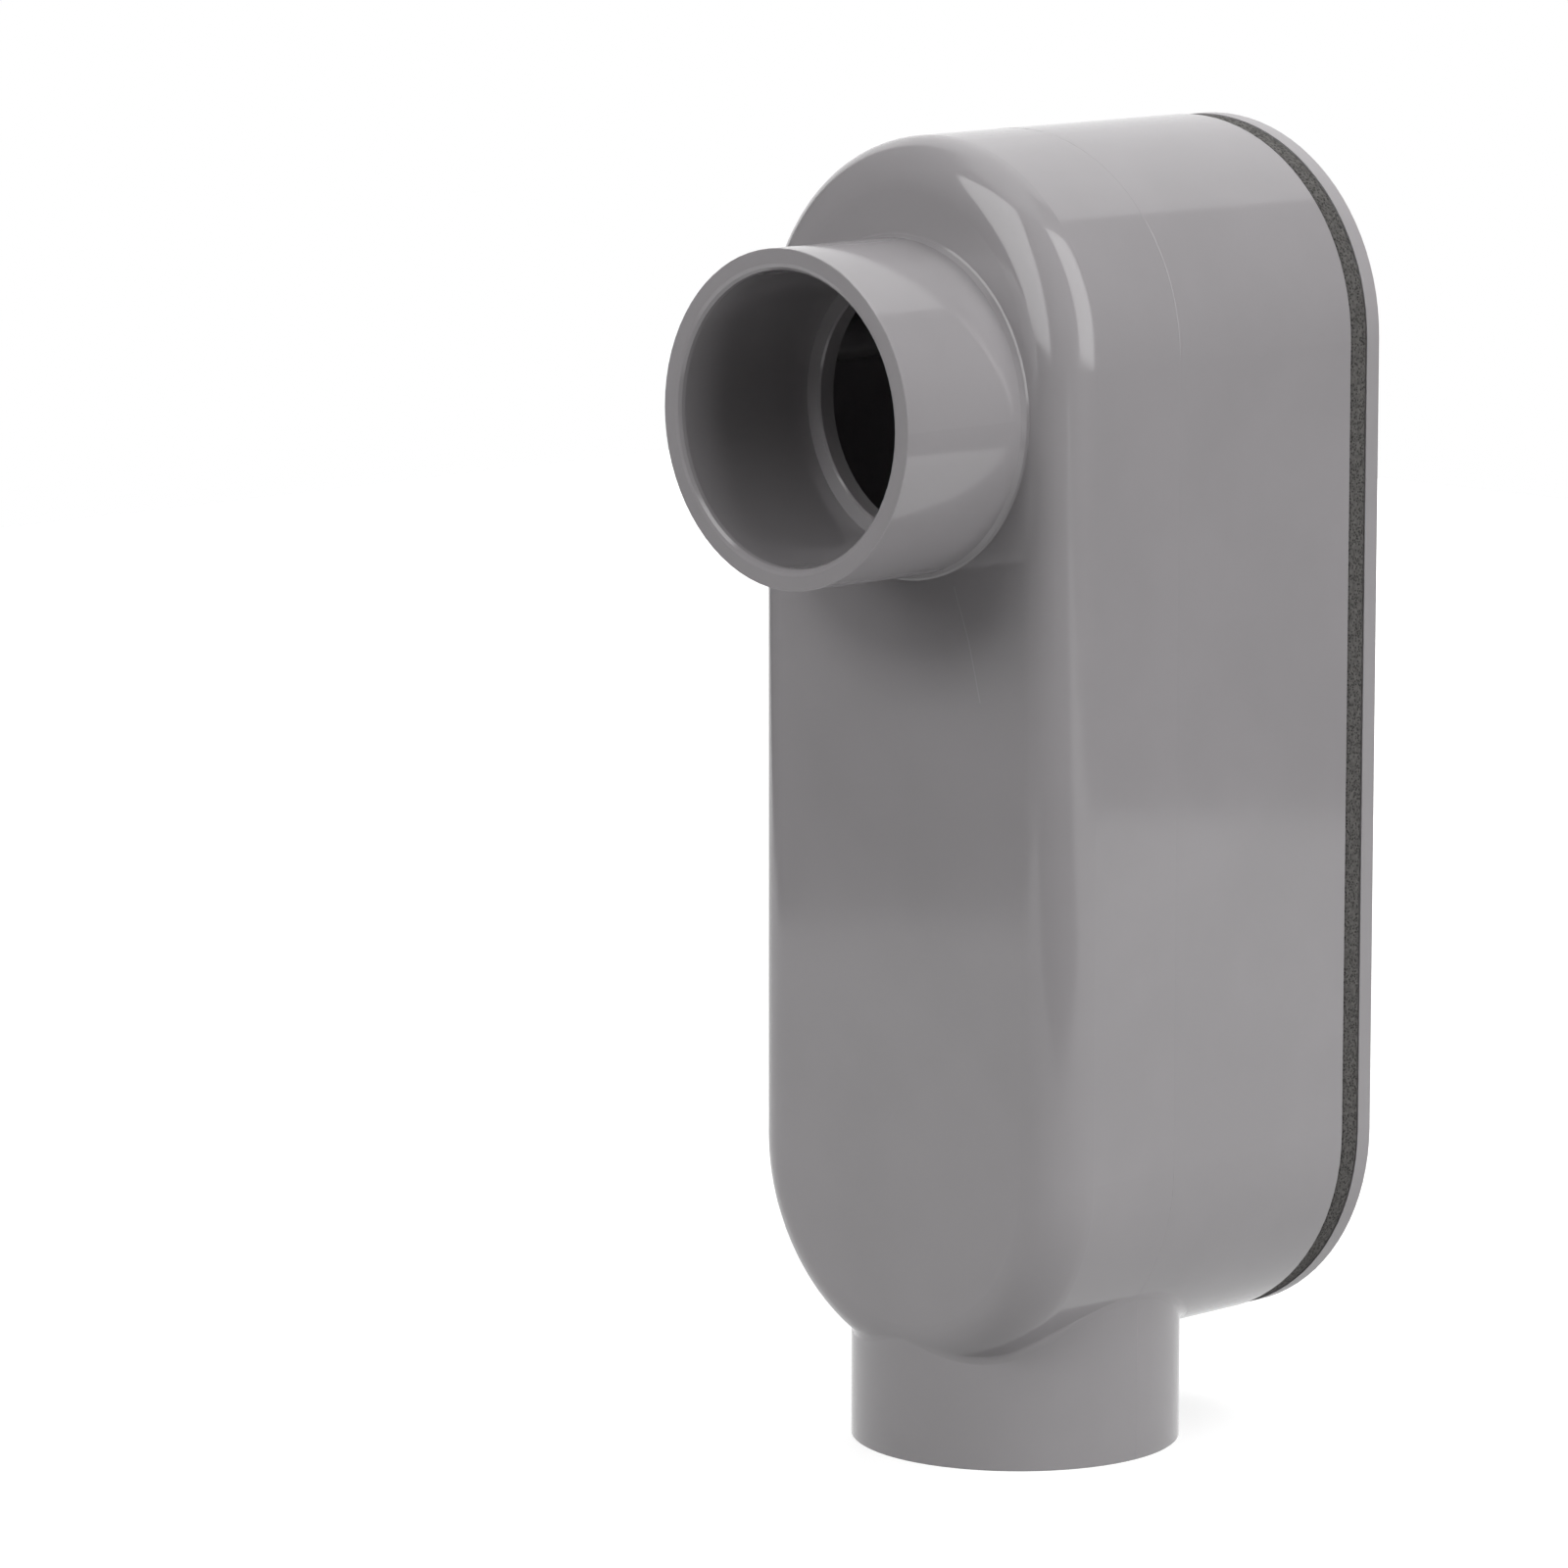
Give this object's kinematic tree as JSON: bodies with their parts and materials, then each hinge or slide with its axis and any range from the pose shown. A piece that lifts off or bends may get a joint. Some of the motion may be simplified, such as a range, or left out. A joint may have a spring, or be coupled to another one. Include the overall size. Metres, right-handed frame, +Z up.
{
  "type": "conduit body",
  "caption": "Elbow conduit body in rigid PVC: an obround box with a socket on its front face, a socket out of its lower end, and a gasketed cover screwed over its open back.",
  "frame": {"origin": "middle of the seat in the bottom socket, where the end of the conduit that comes from below stops; it is 36.9 mm above the end of the bottom hub, on which the part stands", "axes": "+Z up, away from the bottom socket's mouth and along the length of the box; -Y out of the front socket's mouth; +Y towards the cover; +X across the width"},
  "size_m": [0.09, 0.1315, 0.2769],
  "materials": {
    "pvc": "moulded grey PVC, satin",
    "foam": "closed-cell foam, matt, fine pores",
    "steel": "stainless, satin"
  },
  "bodies": {
    "root": {"body": "pvc", "gasket": "foam", "cover": "pvc", "cover_screws": "steel"}
  },
  "joints": []
}
